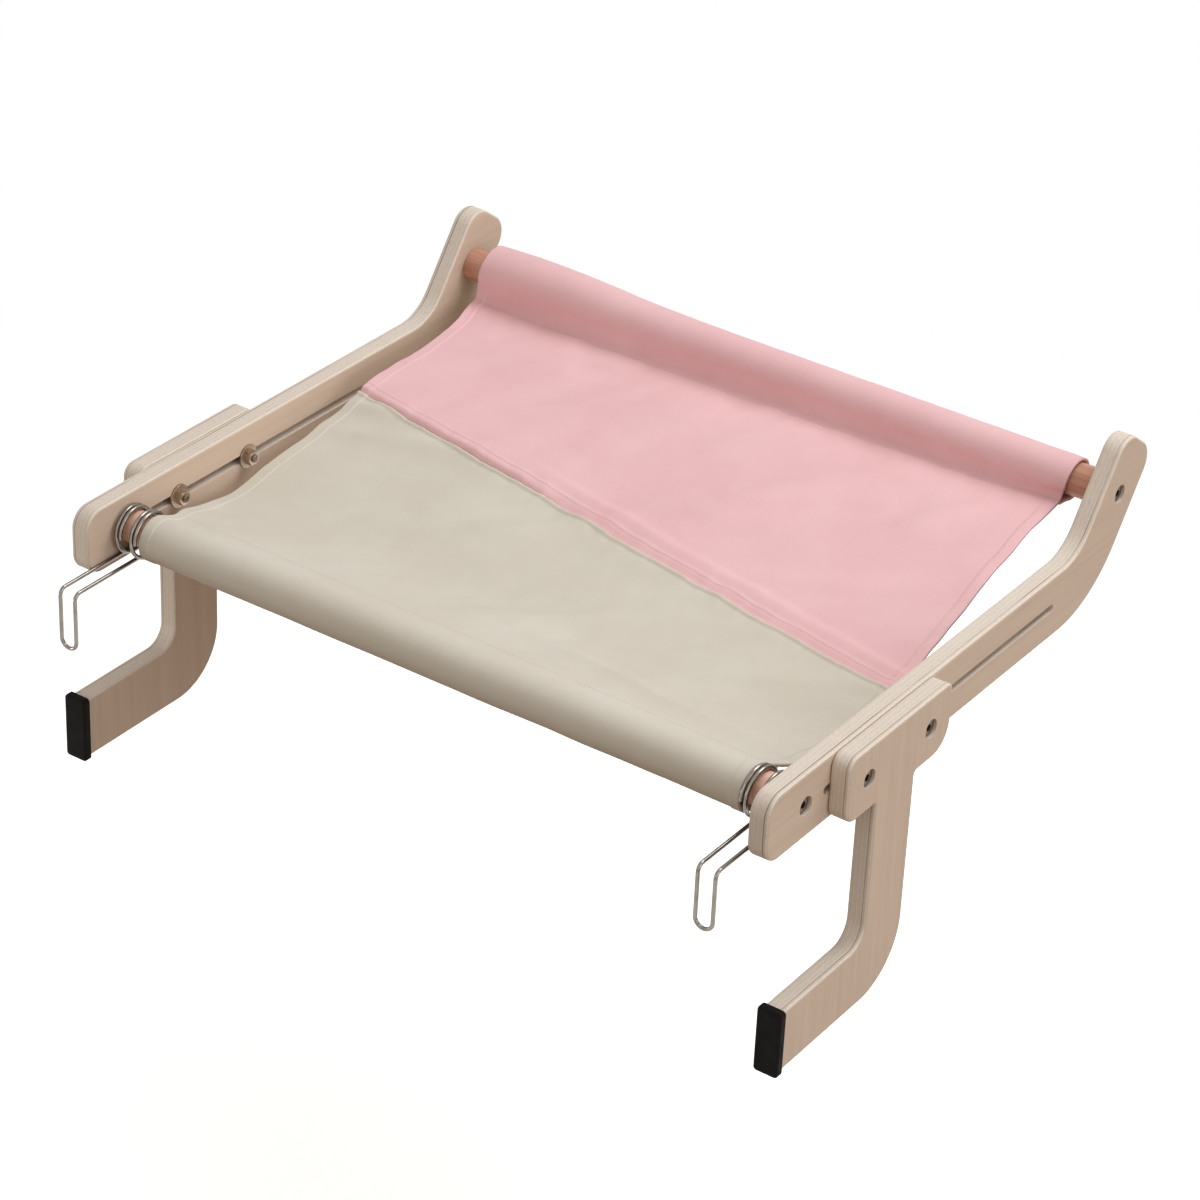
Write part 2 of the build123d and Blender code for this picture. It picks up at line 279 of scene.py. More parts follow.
@dataclass(frozen=True)
class Plywood:
    """Sanded birch plywood with plies that show on the narrow faces."""

    name: str
    grain: Grain
    start: float
    line_depth: float
    line: Triple
    face_tone: Triple = (210, 188, 167)
    face_dark: Triple = (205, 183, 162)
    figure: Triple = (193, 168, 144)
    edge_pale: Triple = (221, 209, 196)
    edge_dark: Triple = (211, 197, 181)
    glue: Triple = (180, 159, 137)
    thickness: float = 15 * MM
    plies: int = 9
    waver: float = 0.4 * MM
    line_core: float = 0.2 * MM
    line_reach: float = 0.6 * MM
    ring_stretch: float = 0.28
    fibre_stretch: float = 5

    def face(self, bench: NodeBench, place: Socket, streaks: Socket, fibres: Socket) -> Socket:
        """Paint the board's broad faces.

        Args:
            bench: the material's bench.
            place: object coordinates.
            streaks: the coarse grain.
            fibres: the fine grain.

        Returns:
            The faces' colour.
        """
        wave: dict[str, Any] = {"Scale": 0.5, "Distortion": 9, "Detail": 3, "Detail Scale": 0.7}
        wave["Vector"] = bench.scaled(place, times(self.grain.value, self.ring_stretch))
        rings = bench.add("ShaderNodeTexWave", "Fac", wave, bands_direction="DIAGONAL")
        clouds = bench.noise(place, 9, 2)
        colour = bench.tint(self.face_tone, self.face_dark, streaks, 0.34, 0.7)
        colour = bench.tint(colour, self.figure, rings, 0.62, 0.98, most=0.16)
        colour = bench.tint(colour, self.face_dark, clouds, 0.3, 0.75, most=0.3)
        return bench.tint(colour, self.figure, fibres, 0.58, 0.82, most=0.2)

    def edge(self, bench: NodeBench, place: Socket) -> tuple[Socket, Socket]:
        """Paint the board's narrow faces, ply by ply.

        Args:
            bench: the material's bench.
            place: object coordinates.

        Returns:
            The narrow faces' colour, and the share of glue line there.
        """
        sway = bench.math("SUBTRACT", bench.noise(place, 14, 2), 0.5)
        depth = bench.math("SUBTRACT", bench.axis(place, 0), self.start)
        depth = bench.total((depth, 1), (sway, self.waver))
        counted = bench.math("DIVIDE", depth, self.thickness / self.plies)
        fraction = bench.math("FRACT", counted)
        odd = bench.math("ABSOLUTE", bench.math("MODULO", bench.math("FLOOR", counted), 2))
        to_line = bench.math("MINIMUM", fraction, bench.math("SUBTRACT", 1, fraction))
        patches = bench.span(bench.noise(place, (0, 28, 28), 2), 0.35, 0.65, 0.12, 0.42)
        glue_line = bench.math("MULTIPLY", bench.span(to_line, 0.02, 0.15, 1, 0), patches)
        pores = bench.noise(place, (1100, 300, 300), 3, 0.6)
        colour = bench.mix(bench.math("MULTIPLY", odd, 0.45), self.edge_pale, self.edge_dark)
        colour = bench.tint(colour, self.glue, pores, 0.5, 0.78, most=0.5)
        colour = bench.mix(glue_line, colour, self.glue)
        to_dark = bench.math("ABSOLUTE", bench.math("SUBTRACT", depth, self.line_depth))
        fading = bench.span(bench.noise(place, 11, 2), 0.36, 0.62, 0.3, 1)
        dark_line = bench.span(to_dark, self.line_core, self.line_reach, 0.8, 0)
        dark_line = bench.math("MULTIPLY", dark_line, fading)
        return bench.mix(dark_line, colour, self.line), bench.math("MAXIMUM", glue_line, dark_line)

    def material(self) -> Material:
        """Build the material.

        Returns:
            A material whose face grain and plies lie in the row frame.
        """
        bench = NodeBench(self.name)
        place = bench.coordinates()
        normal_x = bench.math("ABSOLUTE", bench.axis(bench.coordinates("Normal"), 0))
        on_face = bench.span(normal_x, 0.7, 0.9)
        streaks = bench.noise(place, self.grain.value, 5, 0.62, 0.4)
        fibres = bench.noise(place, times(self.grain.value, self.fibre_stretch), 3, 0.6)
        edge, lines = self.edge(bench, place)
        colour = bench.mix(on_face, edge, self.face(bench, place, streaks, fibres))
        on_edge = bench.math("SUBTRACT", 1, on_face)
        grooves = bench.math("MULTIPLY", lines, on_edge)
        height = bench.total((streaks, 0.6), (fibres, 0.4), (grooves, -0.5))
        return bench.finish(
            Base_Color=colour, Roughness=bench.span(streaks, 0.3, 0.7, 0.54, 0.68),
            Normal=bench.bump(height, 0.25 * MM, 0.3), Specular_IOR_Level=0.3,
            Coat_Weight=0.04, Coat_Roughness=0.4,
        )


@dataclass(frozen=True)
class DowelWood:
    """Warm brown dowel wood whose grain runs along X."""

    name: str
    pale: Triple
    dark: Triple

    def material(self) -> Material:
        """Build the material.

        Returns:
            Satin wood with long grain and fine pores.
        """
        bench = NodeBench(self.name)
        place = bench.coordinates()
        grain = bench.noise(place, (9, 330, 330), 5, 0.6, 0.3)
        pores = bench.noise(place, (60, 1500, 1500), 2)
        colour = bench.tint(self.pale, self.dark, grain, 0.34, 0.68)
        colour = bench.tint(colour, self.dark, pores, 0.6, 0.78, most=0.4)
        return bench.finish(
            Base_Color=colour, Roughness=0.5, Coat_Weight=0.1, Coat_Roughness=0.3,
            Normal=bench.bump(bench.math("ADD", grain, pores), 0.2 * MM, 0.3),
        )


@dataclass(frozen=True)
class Canvas:
    """Plain-weave cotton canvas, woven along the piece's own cut."""

    name: str
    colour: Triple
    shade: Triple
    pale: Triple
    thread: float = 0.55 * MM

    def material(self) -> Material:
        """Build the material.

        Returns:
            A material that reads the piece's UV map, in metres of cloth.
        """
        bench = NodeBench(self.name)
        cut, place = bench.coordinates("UV"), bench.coordinates()
        turns = math.pi / self.thread
        counts = [bench.math("MULTIPLY", bench.axis(cut, way), turns) for way in (0, 1)]
        weft, warp = (bench.math("SINE", each) for each in counts)
        weave = bench.math("MULTIPLY_ADD", bench.math("MULTIPLY", weft, warp), 0.5, 0.5)
        along = bench.noise(cut, (34, 1500, 1), 3, 0.6)
        across = bench.noise(cut, (1500, 34, 1), 3, 0.6)
        threads = bench.total((along, 0.5), (across, 0.5))
        colour = bench.tint(self.shade, self.colour, threads, 0.38, 0.64, least=0.45)
        colour = bench.tint(colour, self.pale, bench.noise(place, 14, 3), 0.35, 0.7, most=0.45)
        colour = bench.mix(bench.math("MULTIPLY", weave, 0.22), colour, self.shade)
        colour = bench.tint(colour, self.pale, bench.noise(cut, 900, 2), 0.66, 0.82, most=0.2)
        normal = bench.bump(bench.total((weave, 1), (threads, 0.7)), 0.18 * MM, 0.28)
        normal = bench.bump(bench.noise(place, 48, 3), 0.9 * MM, 0.22, normal)
        return bench.finish(
            Base_Color=colour, Roughness=0.92, Normal=normal, Specular_IOR_Level=0.15,
            Sheen_Weight=0.08, Sheen_Roughness=0.5,
        )


@dataclass(frozen=True)
class Metal:
    """Bright drawn wire or a plated fastener."""

    name: str
    colour: Triple
    roughness: float
    scratches: float = 0.3

    def material(self) -> Material:
        """Build the material.

        Returns:
            Metal with a little tarnish and fine drawing marks.
        """
        bench = NodeBench(self.name)
        place = bench.coordinates()
        drawn = bench.noise(place, (1600, 1600, 1600), 2)
        tarnish, dark = bench.noise(place, 120), times(self.colour, 0.78)
        return bench.finish(
            Base_Color=bench.tint(self.colour, dark, tarnish, 0.4, 0.75, most=0.6), Metallic=1,
            Roughness=bench.span(drawn, 0.3, 0.7, self.roughness * 0.75, self.roughness * 1.3),
            Normal=bench.bump(drawn, 0.06 * MM, self.scratches),
        )


@dataclass(frozen=True)
class Rubber:
    """Black moulded rubber with a faint matte skin."""

    name: str
    colour: Triple = (20, 18, 16)

    def material(self) -> Material:
        """Build the material.

        Returns:
            Matte rubber with a fine skin and a faint bloom.
        """
        bench = NodeBench(self.name)
        place = bench.coordinates()
        bloom, pale = bench.noise(place, 90, 3), times(self.colour, 1.5)
        return bench.finish(
            Base_Color=bench.tint(self.colour, pale, bloom, 0.45, 0.8, most=0.6),
            Roughness=bench.span(bloom, 0.3, 0.7, 0.7, 0.85), Specular_IOR_Level=0.1,
            Normal=bench.bump(bench.noise(place, 1300, 3), 0.1 * MM, 0.5),
        )


@dataclass(frozen=True)
class Thread:
    """Twisted sewing thread."""

    name: str
    colour: Triple

    def material(self) -> Material:
        """Build the material.

        Returns:
            Soft thread with a fine twist.
        """
        bench = NodeBench(self.name)
        twist = bench.noise(bench.coordinates(), (2600, 900, 2600), 2)
        return bench.finish(
            Base_Color=bench.tint(self.colour, times(self.colour, 0.88), twist, 0.35, 0.7),
            Roughness=0.7, Normal=bench.bump(twist, 0.08 * MM, 0.5),
            Sheen_Weight=0.2, Sheen_Roughness=0.4,
        )


@dataclass(frozen=True)
class StudioPaper:
    """The plain white floor, which gives back less light than it shows."""

    paper: Triple = (252, 252, 252)
    flock: Triple = (249, 249, 249)
    lift: float = 0.47
    bounce: tuple[float, ...] = (0.24, 0.15, 0.08, 1)
    plain_from: float = 0.7
    plain_to: float = 1.5

    def material(self) -> Material:
        """Build the material.

        Returns:
            White paper with a soft shadow for the camera, plain white further
            out, and browner paper for the light that goes on to the object.
        """
        bench = NodeBench("studio_paper")
        place = bench.coordinates()
        grain = bench.noise(place, 3, 2)
        paper = bench.shader(
            Base_Color=bench.tint(self.paper, self.flock, grain, 0.3, 0.7, most=0.2),
            Roughness=0.95, Specular_IOR_Level=0,
            Emission_Color=WHITE, Emission_Strength=self.lift,
        )
        plain = bench.add("ShaderNodeEmission", 0, {"Color": WHITE})
        reach = bench.add("ShaderNodeVectorMath", "Value", {0: place}, operation="LENGTH")
        seen = bench.blend(bench.span(reach, self.plain_from, self.plain_to), paper, plain)
        bounce = bench.add("ShaderNodeBsdfDiffuse", 0, {"Color": self.bounce})
        return bench.show(bench.by_ray(bounce, seen))


def dress(node: Piece, material: Material) -> None:
    """Give every material slot of a piece this finish.

    Args:
        node: the piece.
        material: the finish.
    """
    if not node.material_slots:
        node.data.materials.append(material)
    for each in node.material_slots:
        each.material = material


# ---- canvas seat
@dataclass(frozen=True)
class Fold:
    """One soft ridge of the hanging cloth, or a hollow where rise is negative."""

    x: float
    y: float
    turn: float
    length: float
    width: float
    rise: float

    def lift(self, x: float, y: float) -> float:
        """Measure the fold at a place.

        Args:
            x: the place across the seat.
            y: the place along Y.

        Returns:
            How far the fold lifts the cloth there.
        """
        angle = math.radians(self.turn)
        off_x, off_y = x - self.x, y - self.y
        along = (off_x * math.cos(angle) + off_y * math.sin(angle)) / self.length
        across = (off_y * math.cos(angle) - off_x * math.sin(angle)) / self.width
        return self.rise * math.exp(-along * along - across * across)


def polar(centre: Pair, radius: float, angle: float) -> Pair:
    """Step out from a centre, in Y and Z, at an angle above the rear."""
    return centre[0] + radius * math.cos(angle), centre[1] + radius * math.sin(angle)


@dataclass
class CanvasSeat:
    """The two-tone canvas seat: two pieces sewn along a slanted seam, each with
    a sleeve for its dowel. Lengths are in millimetres until a mesh is made."""

    front_axis: Pair = (0, 25)
    rear_axis: Pair = (397.5, 78)
    half_width: float = 251
    cloth: float = 1.3
    doubled: float = 2.3
    front_radius: float = 15.7
    front_hang: float = 2.3
    front_lean: float = 234
    front_leave: float = 62
    rear_radius: float = 15.4
    rear_hang: float = 0.9
    rear_lean: float = 217
    rear_shift: float = 6
    front_stitch: float = 24
    rear_stitch: float = 381
    seam_left: float = 233
    seam_right: float = 161
    top_stitch: float = 8
    allowance: float = 8.8
    hem: float = 8
    hem_edge: float = 0.6
    flares: Pair = (-9, 6.5)
    kinks: Pair = (-6.5, 1.5)
    left_profile: tuple[Pair, ...] = (
        (2.2, 38.4), (6, 37), (14, 33.3), (22, 29.9), (32, 26.4), (43, 23.2), (58, 20),
        (70, 17.8), (88, 15.9), (98, 16.1), (108, 17.2), (120, 19), (135, 21.6),
        (155, 24.6), (174, 27.4), (198, 31.4), (217, 35.9), (243, 42), (261, 45),
        (283, 47.6), (307, 50.6), (330, 54.6), (354, 59), (381, 62.6),
    )
    right_profile: tuple[Pair, ...] = (
        (2.2, 38.4), (6, 37), (14, 33), (22, 29.2), (32, 25.4), (43, 22.2), (58, 18.5),
        (70, 15.8), (88, 13), (98, 12.2), (108, 12), (120, 12.4), (135, 13.4),
        (155, 15.2), (175, 17.4), (195, 20.4), (211, 24), (230, 28.6), (248, 33.4),
        (272, 40.3), (300, 47.5), (326, 53.8), (345, 58.3), (364, 62), (381, 65),
    )
    folds: tuple[Fold, ...] = (
        Fold(34, 102, 35, 62, 12, 3.7), Fold(-56, 166, 43, 42, 11, 3),
        Fold(-198, 203, 18, 42, 8, 2.9), Fold(-226, 223, 10, 26, 6.5, 2.4),
        Fold(-150, 120, 30, 60, 16, 2), Fold(136, 55, -7, 100, 6.5, 1.9),
        Fold(170, 120, 30, 50, 14, 2), Fold(61, 276, 45, 76, 18, 3.6),
        Fold(154, 229, 36, 36, 8, 1.9), Fold(-125, 350, 20, 18, 8, -1.5),
        Fold(-40, 330, 25, 70, 14, 2), Fold(190, 330, 50, 45, 13, 2.2),
    )
    fold_strength: float = 1.3
    # columns and rows: where they are close together, and how many there are elsewhere
    hem_columns: tuple[float, ...] = (0, 0.7, 1.8, 3.2, 5, 6.8, 7.6, 8, 8.5, 9.4, 11, 13.5)
    middle_columns: int = 194
    front_gaps: tuple[float, ...] = (
        -30, -24, -19, -15, -12, -9.5, -7.5, -6, -4.8, -3.8, -3, -2.3, -1.7, -1.1, -0.5, 0,
    )
    rear_gaps: tuple[float, ...] = (
        0, 0.5, 1.1, 1.8, 2.6, 3.4, 4.6, 6, 7.2, 8, 8.8, 9.4, 10.6, 12.2, 14.5, 17, 20, 24,
    )
    front_sleeve_rows: int = 46
    front_seat_rows: int = 66
    rear_seat_rows: int = 73
    rear_sleeve_rows: int = 61
    columns: list[float] = field(init=False)
    front_rows: Array = field(init=False)
    rear_rows: Array = field(init=False)

    def __post_init__(self) -> None:
        """Lay out the cloth's columns, closer at the hems."""
        inner = self.half_width - self.hem_columns[-1]
        middle = np.linspace(-inner, inner, self.middle_columns + 2)[1:-1].tolist()
        right = [self.half_width - value for value in reversed(self.hem_columns)]
        self.columns = [-value for value in reversed(right)] + middle + right

    @property
    def kink_row(self) -> int:
        """The rear piece's row at the stitch line of its sleeve."""
        return len(self.rear_gaps) + self.rear_seat_rows - 1

    def curve(self, spots: tuple[Pair, ...], y: float) -> float:
        """Follow a smooth curve through a profile's points.

        Args:
            spots: places along Y with their heights.
            y: the place.

        Returns:
            The height there.
        """
        index = 0
        while index < len(spots) - 2 and y > spots[index + 1][0]:
            index += 1
        (y0, z0), (y1, z1) = spots[index], spots[index + 1]
        before = spots[index - 1] if index else (2 * y0 - y1, 2 * z0 - z1)
        after = spots[index + 2] if index + 2 < len(spots) else (2 * y1 - y0, 2 * z1 - z0)
        slope0 = (z1 - before[1]) / (y1 - before[0])
        slope1 = (after[1] - z0) / (after[0] - y0)
        run = y1 - y0
        t = (y - y0) / run
        return (
            z0 * (1 + 2 * t) * (1 - t) ** 2 + slope0 * run * t * (1 - t) ** 2
            + z1 * t * t * (3 - 2 * t) + slope1 * run * t * t * (t - 1)
        )

    def height(self, u: float, y: float) -> float:
        """Measure the unwrinkled seat, which is lower at the right.

        Args:
            u: the column's place.
            y: the place along Y.

        Returns:
            The height of the cloth's middle.
        """
        share = 0.5 + 0.5 * u / self.half_width
        left, right = self.curve(self.left_profile, y), self.curve(self.right_profile, y)
        return (1 - share) * left + share * right

    def spread(self, u: float, y: float) -> float:
        """Place a column of the cloth, which flares out behind the front dowel.

        Args:
            u: the place across the cut.
            y: the place along Y.

        Returns:
            The place across the seat.
        """
        outward = ramp(abs(u), 110, self.half_width)
        flare = ramp(y, 14, 43) * (1 - ramp(y, 60, 350))
        kink = bell(y - self.rear_stitch, 22)
        side = int(u >= 0)
        return u + outward * (self.flares[side] * flare + self.kinks[side] * kink)

    def seam_place(self, u: float) -> float:
        """Where the seam lies along Y at a place across the cloth."""
        share = (u + self.half_width) / (2 * self.half_width)
        return self.seam_left + (self.seam_right - self.seam_left) * share

    def kink(self, u: float) -> Pair:
        """Place the stitch line of the rear sleeve, which hangs lower at the left.

        Args:
            u: the column's place.

        Returns:
            Its Y and Z.
        """
        share = u / self.half_width
        reach = 25 - 3 * share - 2.2 * share * share
        reach += 1.2 * wander(u / 36, 3.1, 7) + 0.6 * wander(u / 13, 1.7, 2)
        return polar(self.rear_axis, reach, math.radians(221 - 3 * share))

    def front_centre(self, u: float) -> Pair:
        """Where the front sleeve's round centre hangs, in Y and Z."""
        slack = self.front_hang + 0.45 * wander(u / 70, 0.2, 3)
        return polar(self.front_axis, slack, math.radians(self.front_lean))

    def seat_start(self, u: float) -> Pair:
        """Where the seat leaves the front sleeve's round, in Y and Z."""
        return polar(self.front_centre(u), self.front_radius, math.radians(self.front_leave))

    def ripples(self, u: float, y: float) -> float:
        """Wrinkle the free cloth: three sizes of slanted ripple, the folds and slack hems.

        Args:
            u: the column's place.
            y: the place along Y.

        Returns:
            How far the wrinkles lift it there.
        """
        along, across = 0.78 * u + 0.63 * y, 0.78 * y - 0.63 * u
        lift = 2.6 * wander(along / 150 + 0.4, across / 44, 4)
        lift += 1.3 * wander(along / 58, across / 20, 9)
        lift += 0.5 * wander(along / 26, across / 11, 14)
        lift += self.fold_strength * sum(each.lift(u, y) for each in self.folds)
        return lift + 1.2 * bell(self.half_width - abs(u), 22) * wander(y / 34, u / 200, 12)

    def seat_point(self, u: float, y: float) -> Array:
        """Place a point of the seat between the stitch lines, wrinkles and all.

        Args:
            u: the column's place.
            y: the place along Y.

        Returns:
            The point.
        """
        kink_y, kink_z = self.kink(u)
        start_y, start_z = self.seat_start(u)
        z = self.height(u, y)
        z += (1 - ramp(y, start_y, start_y + 20)) * (start_z - self.height(u, start_y))
        to_rear = ramp(y, 300, self.rear_stitch)
        z += to_rear * (kink_z - self.height(u, self.rear_stitch))
        y_moved = y + to_rear * (kink_y - self.rear_stitch)
        free = ramp(y, 20, 58) * (1 - ramp(y, 350, self.rear_stitch))
        z += free * self.ripples(u, y) + self.seam_relief(u, y - self.seam_place(u))
        z += 0.9 * bell(kink_y - y_moved - 9, 14) * wander(u / 15, y / 30, 21)
        return np.array((self.spread(u, y), y_moved, z))

    def seam_relief(self, u: float, gap: float) -> float:
        """Raise the cloth beside the seam. The grey piece climbs to a rolled
        edge, and the pink piece starts in a valley and climbs over its folded
        allowance, steeply at the left and in a wide band at the right.

        Args:
            u: the column's place.
            gap: the distance behind the seam.

        Returns:
            How far the cloth stands up.
        """
        if gap <= 0:
            rise = 1.3 * ramp(gap, -27, -2.5)
            rise += 1.6 * bell(gap + 1.8, 1.4) - 0.5 * bell(gap, 0.9)
        else:
            right = ramp(u, -110, -30)
            step = 4.3 * ramp(gap, 0.2, 3.8) * bell(gap, 38)
            band = 2.3 * ramp(gap, 0.4, 9) + 1.6 * ramp(gap, 9, 19)
            band *= (1 - 0.6 * ramp(gap, 19.5, 25)) * bell(gap, 52)
            rise = 0.6 * math.exp(-gap / 1.5) + (1 - right) * step + right * band
            rise += 0.35 * ramp(gap, 8, 8.8) * (1 - ramp(gap, 9.2, 10.6))
            rise -= 0.3 * bell(gap - self.top_stitch, 0.9)
        pucker = 0.7 * wander(u / 12, gap / 26, 31) + 0.4 * wander(u / 5.5, gap / 18, 44)
        return rise + bell(gap, 14) * pucker

    def front_loop(self, u: float, share: float) -> Array:
        """Place a point of the front sleeve, from its stitch line under the
        seat, forward round the dowel and back over it.

        Args:
            u: the column's place.
            share: how far round, from 0 to 1.

        Returns:
            The point.
        """
        centre = self.front_centre(u)
        tip = np.array((self.front_stitch, self.height(u, self.front_stitch) - self.cloth - 0.05))
        off_y, off_z = tip - centre
        start = math.atan2(off_z, off_y) - math.acos(self.front_radius / math.hypot(off_y, off_z))
        end = math.radians(self.front_leave) - 2 * math.pi
        lead = 0.15
        if share < lead:
            t = share / lead
            y, z = tip + (np.array(polar(centre, self.front_radius, start)) - tip) * t
            return np.array((self.spread(u, tip[0] * (1 - t)), y, z - 0.5 * math.sin(math.pi * t)))
        t = (share - lead) / (1 - lead)
        radius = self.front_radius + 0.45 * math.sin(math.pi * t) * wander(u / 38, t * 2.2, 15)
        return np.array((u, *polar(centre, radius, start + (end - start) * t)))

    def rear_loop(self, u: float, share: float) -> Array:
        """Place a point of the rear sleeve, from the kink up in front of the
        dowel, over it, and down behind it to the stitch line again. It stands
        loose off the dowel, most near the left end.

        Args:
            u: the column's place.
            share: how far round, from 0 to 1.

        Returns:
            The point.
        """
        loose = 0.5 * (0.6 * (0.5 - 0.5 * u / self.half_width) + 5.6 * bell(u + 212, 84))
        centre = polar(self.rear_axis, self.rear_hang, math.radians(self.rear_lean))
        centre = centre[0], centre[1] + loose
        base = self.rear_radius + loose
        kink = np.array(self.kink(u))
        off_y, off_z = kink - centre
        half = math.acos(base / math.hypot(off_y, off_z))
        lean = math.atan2(off_z, off_y) % (2 * math.pi)
        first, last = lean - half, lean + half - 2 * math.pi
        kink_x = self.spread(u, self.rear_stitch)
        rising = share < 0.5
        level = ramp(share, 0, 0.4) if rising else ramp(1 - share, 0.12, 0.5)
        shift = self.rear_shift - 8 * (1 - ramp(u, -self.half_width, -130))
        x = kink_x + (u + shift - kink_x) * level
        lead = 0.2
        if lead <= share <= 1 - lead:
            t = (share - lead) / (1 - 2 * lead)
            radius = base + (0.15 + 0.3 * wander(u / 24, 3 * t, 61)) * math.sin(math.pi * t)
            return np.array((x, *polar(centre, radius, first + (last - first) * t)))
        angle, t = (first, share / lead) if rising else (last, (1 - share) / lead)
        bend = math.sin(math.pi * t)
        y, z = kink + (np.array(polar(centre, base, angle)) - kink) * t
        if rising:
            y, z = polar((y, z), -1.7 * bend, angle)
        else:
            z -= 1.9 * (1 - t)
        return np.array((x, y + 0.8 * bend * wander(u / 17, 2 * t, 52), z))

    def grid(self, place: Callable[[float, float], Array], steps: Callable[[float], Any]) -> Array:
        """Place every column's points, at the steps that the column takes."""
        points = [[place(u, step) for step in steps(u)] for u in self.columns]
        return np.array(points).swapaxes(0, 1)

    def front_lines(self) -> Array:
        """Lay out the front piece, from its hidden stitch line to the seam.

        Returns:
            Its rows of points.
        """
        def steps(u: float) -> list[float]:
            """The seat rows' places along Y in a column."""
            gaps = self.seam_place(u) + np.array(self.front_gaps)
            return [*np.linspace(self.seat_start(u)[0], gaps[0], count)[1:-1], *gaps]

        count = self.front_seat_rows + 2
        around = np.linspace(0, 1, self.front_sleeve_rows)
        loop = self.grid(self.front_loop, lambda u: around)
        return np.concatenate([loop, self.grid(self.seat_point, steps)])

    def rear_lines(self) -> Array:
        """Lay out the rear piece, from the seam to its hidden stitch line, and
        round its fold there a little, so that it isn't knife sharp.

        Returns:
            Its rows of points.
        """
        def steps(u: float) -> list[float]:
            """The seat rows' places along Y in a column."""
            gaps = self.seam_place(u) + np.array(self.rear_gaps)
            return [*gaps, *np.linspace(gaps[-1], self.rear_stitch, count)[1:]]

        count = self.rear_seat_rows + 1
        around = np.linspace(0, 1, self.rear_sleeve_rows + 1)[1:]
        loop = self.grid(self.rear_loop, lambda u: around)
        sheet = np.concatenate([self.grid(self.seat_point, steps), loop])
        for _ in range(2):
            near = sheet[self.kink_row - 2:self.kink_row + 3, :, 1:]
            near[1:-1] = 0.25 * near[:-2] + 0.5 * near[1:-1] + 0.25 * near[2:]
        return sheet

    def layers(self, piece: Piece, row: Array, column: Array,
               sleeve: float, seam: int) -> None:
        """Mark where the cloth is folded double: hems, sleeve and seam.

        Args:
            piece: the flat piece, whose points have a row and a column.
            row: each point's row.
            column: each point's column.
            sleeve: the row from which the sleeve is doubled.
            seam: the last row of the seam's allowance, or -1.
        """
        place = np.abs(np.array(self.columns))[column]
        in_hem = (place - (self.half_width - self.hem)) / self.hem_edge + 0.5
        in_seam = np.where(row <= seam, 0.6, 0)
        share = np.clip(np.maximum.reduce([in_hem, (row - sleeve) / 3, in_seam]), 0, 1)
        share = np.rint(share * 4) / 4
        group = piece.vertex_groups.new(name="layers")
        for value in np.unique(share):
            group.add(np.nonzero(share == value)[0].tolist(), float(value), "REPLACE")

    def sheet(self, end: End, rows: Array, finish: Canvas,
              sleeve: float = math.inf, seam: int = -1) -> None:
        """Make one canvas piece from its rows of points, with its thickness.

        Args:
            end: which of the two pieces it is.
            rows: row, column and coordinate, in millimetres.
            finish: the cloth.
            sleeve: the row from which its sleeve is doubled.
            seam: the last row of its folded allowance, or -1.
        """
        node, dowel = f"{end.value}_canvas", f"{end.value}_dowel"
        down, across = rows.shape[0] - 1, rows.shape[1] - 1
        bpy.ops.object.select_all(action="DESELECT")
        bpy.ops.mesh.primitive_grid_add(x_subdivisions=across, y_subdivisions=down, size=2)
        piece = bpy.context.object
        piece.name = piece.data.name = f"{node}_cloth"
        shares = np.array([(each.co.xy + Vector((1, 1))) / 2 for each in piece.data.vertices])
        column, row = np.rint(shares * (across, down)).astype(int).T
        piece.data.vertices.foreach_set("co", (rows[row, column] * MM).astype(np.float32).ravel())
        piece.data.update()
        steps = np.linalg.norm(np.diff(rows, axis=0), axis=2)
        length = np.vstack([np.zeros(len(self.columns)), np.cumsum(steps, axis=0)])
        cut = np.stack([np.array(self.columns)[column] * MM, length[row, column] * MM], axis=1)
        loops = np.zeros(len(piece.data.loops), np.int32)
        piece.data.loops.foreach_get("vertex_index", loops)
        piece.data.uv_layers.active.data.foreach_set("uv", cut[loops].astype(np.float32).ravel())
        self.layers(piece, row, column, sleeve, seam)
        bpy.ops.object.mode_set(mode="EDIT")
        bpy.ops.mesh.select_all(action="SELECT")
        bpy.ops.mesh.flip_normals()
        bpy.ops.object.mode_set(mode="OBJECT")
        wall = piece.modifiers.new("cloth", "SOLIDIFY")
        wall.thickness = self.doubled * MM
        wall.offset = 0
        wall.use_even_offset = False
        wall.vertex_group = "layers"
        wall.thickness_vertex_group = self.cloth / self.doubled
        bpy.ops.object.modifier_apply(modifier=wall.name)
        piece.vertex_groups.clear()
        bpy.ops.object.shade_smooth()
        dress(piece, finish.material())
        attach(piece, "frame")
        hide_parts(node)

    def build(self) -> None:
        """Cut, hang and finish both pieces."""
        self.front_rows, self.rear_rows = self.front_lines(), self.rear_lines()
        grey = Canvas("canvas_grey", (212, 205, 191), (204, 195, 180), (218, 212, 200))
        pink = Canvas("canvas_pink", (235, 191, 193), (228, 179, 182), (240, 200, 202))
        self.sheet(End.FRONT, self.front_rows, grey)
        allowance = self.rear_gaps.index(self.allowance)
        self.sheet(End.REAR, self.rear_rows, pink, self.kink_row + 2, allowance)


